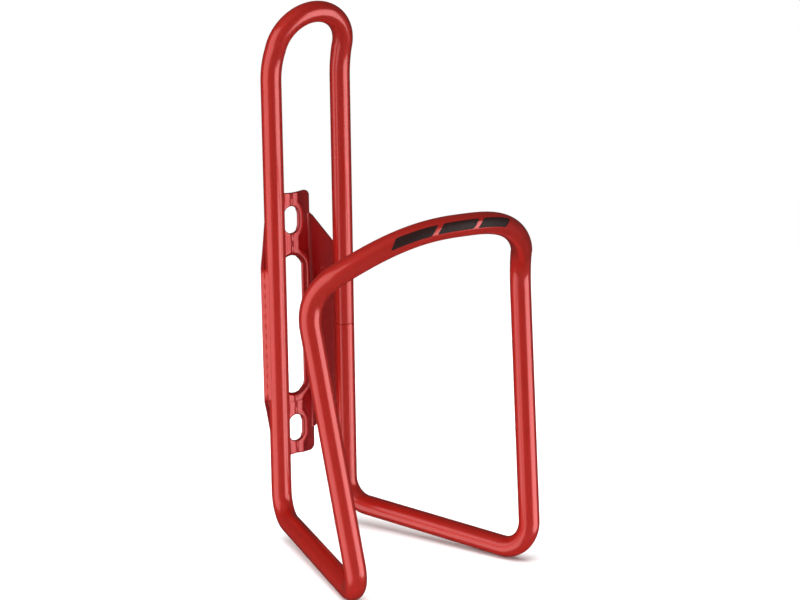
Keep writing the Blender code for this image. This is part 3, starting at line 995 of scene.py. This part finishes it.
def stripe(node, middle_turn, material):
    """A plain printed stripe with rounded corners, laid on the front of the hoop."""
    shape = bmesh.new()
    layers = []
    for radius in (TUBE_RADIUS + STRIPE_TOP, TUBE_RADIUS - STRIPE_ROOT):
        rows = []
        for row in range(STRIPE_ROWS + 1):
            around = sin(pi * (row / STRIPE_ROWS - 0.5))
            into_corner = max(0.0, abs(around) - (1 - STRIPE_CORNER)) / STRIPE_CORNER
            reach = 1 - STRIPE_CORNER / 2 * (1 - sqrt(1 - into_corner ** 2))
            verts = []
            for column in range(STRIPE_COLUMNS + 1):
                along = reach * (2 * column / STRIPE_COLUMNS - 1)
                place = stripe_point(middle_turn, along, around, radius)
                verts.append(shape.verts.new(place))
            rows.append(verts)
        layers.append(rows)
    for rows in layers:
        for low, high in zip(rows, rows[1:]):
            for corners in zip(low, low[1:], high[1:], high):
                shape.faces.new(corners)
    rims = []
    for rows in layers:
        right = [row[-1] for row in rows]
        left = [row[0] for row in rows]
        rims.append(rows[0] + right[1:] + rows[-1][-2::-1] + left[-2:0:-1])
    bridge(shape, rims)
    stands_for(mesh_object(node + "_ink", shape), node, material)


# ---------------------------------------------------------------- studio

CAMERA_X = -0.29380
CAMERA_FORWARD = 0.43707
CAMERA_Z = 0.11376
CAMERA_AZIMUTH = radians(-36.792)
CAMERA_ELEVATION = radians(11.295)
CAMERA_ROLL = radians(-0.724)
CAMERA_SENSOR = 36.0               # width in millimetres
CAMERA_LENS = 81.34                # focal length in millimetres
FLOOR_GAP = 0.4 * MM               # between the lowest bend and the floor
FLOOR_HALF_SIZE = 6.0
FLOOR_STEPS = 24
FLOOR_LIGHT_POWER = 60.0
FLOOR_LIGHT_HEIGHT = 2.0
FLOOR_LIGHT_SIZE = 2.4
ROOM_FRONT_AZIMUTH = radians(-36)
ROOM_FRONT_ELEVATION = radians(25)
ROOM_FRONT = 0.15                  # brightness of the room in front of the cage
ROOM_BACK = 0.02


def direction(azimuth, elevation):
    """The direction of a place round the cage: azimuth 0 is in front, positive towards +X."""
    level = cos(elevation)
    return Vector((sin(azimuth) * level, -cos(azimuth) * level, sin(elevation)))


def add_camera():
    """The camera, at the angle from which the cage is looked at."""
    lens = bpy.data.cameras.new("camera")
    lens.sensor_width = CAMERA_SENSOR
    lens.lens = CAMERA_LENS
    lens.clip_start = 0.01
    lens.clip_end = 50.0
    camera = bpy.data.objects.new("camera", lens)
    back = direction(CAMERA_AZIMUTH, CAMERA_ELEVATION)
    right = Vector((cos(CAMERA_AZIMUTH), sin(CAMERA_AZIMUTH), 0))
    up = back.cross(right)
    turned_right = right * cos(CAMERA_ROLL) + up * sin(CAMERA_ROLL)
    turned_up = up * cos(CAMERA_ROLL) - right * sin(CAMERA_ROLL)
    camera.rotation_euler = Matrix((turned_right, turned_up, back)).transposed().to_euler()
    camera.location = point(CAMERA_X, CAMERA_FORWARD, CAMERA_Z)
    bpy.context.scene.collection.objects.link(camera)
    bpy.context.scene.camera = camera


def add_light(name, azimuth, elevation, distance, width, height, power):
    """A soft rectangular light that faces the middle of the cage."""
    lamp = bpy.data.lights.new(name, "AREA")
    lamp.shape = "RECTANGLE"
    lamp.size = width
    lamp.size_y = height
    lamp.energy = power
    light = bpy.data.objects.new(name, lamp)
    middle = (cad_bounds[0] + cad_bounds[1]) / 2
    away = direction(azimuth, elevation)
    light.location = middle + away * distance
    light.rotation_euler = away.to_track_quat("Z", "Y").to_euler()
    light.visible_camera = False
    bpy.context.scene.collection.objects.link(light)
    return light


def add_floor(material):
    """A wide flat floor just under the cage, which isn't seen in reflections."""
    shape = bmesh.new()
    bmesh.ops.create_grid(
        shape, x_segments=FLOOR_STEPS, y_segments=FLOOR_STEPS, size=FLOOR_HALF_SIZE
    )
    floor = mesh_object("floor", shape)
    floor.location.z = cad_bounds[0].z - FLOOR_GAP
    floor.data.materials.append(material)
    floor.visible_glossy = False
    floor.visible_shadow = False
    return floor


def light_floor(floor):
    """A light high above for the floor only, which makes it nearly as bright as the background."""
    light = add_light("floor_light", 0.0, radians(90), distance=FLOOR_LIGHT_HEIGHT,
                      width=FLOOR_LIGHT_SIZE, height=FLOOR_LIGHT_SIZE, power=FLOOR_LIGHT_POWER)
    lit = bpy.data.collections.new("lit_by_floor_light")
    lit.objects.link(floor)
    light.light_linking.receiver_collection = lit


def add_surroundings():
    """White behind the cage, and for everything that reflects a grey room, dim at the back."""
    world = bpy.data.worlds.new("surroundings")
    world.use_nodes = True
    bpy.context.scene.world = world
    tree = world.node_tree
    seen = tree.nodes.new("ShaderNodeBackground")
    seen.inputs["Color"].default_value = (1.0, 1.0, 1.0, 1.0)
    seen.inputs["Strength"].default_value = 1.0
    place = tree.nodes.new("ShaderNodeTexCoord")
    frontness = tree.nodes.new("ShaderNodeVectorMath")
    frontness.operation = "DOT_PRODUCT"
    frontness.inputs[1].default_value = direction(ROOM_FRONT_AZIMUTH, ROOM_FRONT_ELEVATION)
    strength = tree.nodes.new("ShaderNodeMapRange")
    set_range(strength, -1.0, 1.0, ROOM_BACK, ROOM_FRONT)
    room = tree.nodes["Background"]
    room.inputs["Color"].default_value = (1.0, 1.0, 1.0, 1.0)
    ray = tree.nodes.new("ShaderNodeLightPath")
    choice = tree.nodes.new("ShaderNodeMixShader")
    tree.links.new(place.outputs["Generated"], frontness.inputs[0])
    tree.links.new(frontness.outputs["Value"], strength.inputs["Value"])
    tree.links.new(strength.outputs["Result"], room.inputs["Strength"])
    tree.links.new(ray.outputs["Is Camera Ray"], choice.inputs["Fac"])
    tree.links.new(room.outputs["Background"], choice.inputs[1])
    tree.links.new(seen.outputs["Background"], choice.inputs[2])
    tree.links.new(choice.outputs["Shader"], tree.nodes["World Output"].inputs["Surface"])


def main():
    """Makes every piece, the floor, the lights and the camera."""
    tube_red = lacquer("tube_lacquer", deep=(0.53, 0.010, 0.004), bright=(0.64, 0.015, 0.006),
                       roughness=0.34, metallic=0.42)
    plate_red = lacquer("plate_lacquer", deep=(0.52, 0.006, 0.007), bright=(0.62, 0.010, 0.011),
                        roughness=0.32, metallic=0.62)
    ink = print_ink()
    cage_tube(tube_red)
    joint_pin(turned_aluminium())
    mounting_plate(plate_red)
    weld_seam(-1, "weld_seam_left", tube_red)
    weld_seam(1, "weld_seam_right", tube_red)
    for place, node in zip((-1, 0, 1), STRIPE_NODES):
        stripe(node, STRIPE_MIDDLE + place * STRIPE_PITCH, ink)
    light_floor(add_floor(pale_floor()))
    add_surroundings()
    add_light("left_softbox", radians(-100), radians(-8),
              distance=0.95, width=1.05, height=1.6, power=4.9)
    add_light("right_softbox", radians(34), radians(-6),
              distance=0.95, width=0.9, height=0.9, power=4.9)
    top_fill = add_light("top_fill", radians(-90), radians(50),
                         distance=0.9, width=1.2, height=1.2, power=10.0)
    top_fill.visible_glossy = False
    add_camera()
    bpy.context.scene.view_settings.view_transform = "Standard"


main()
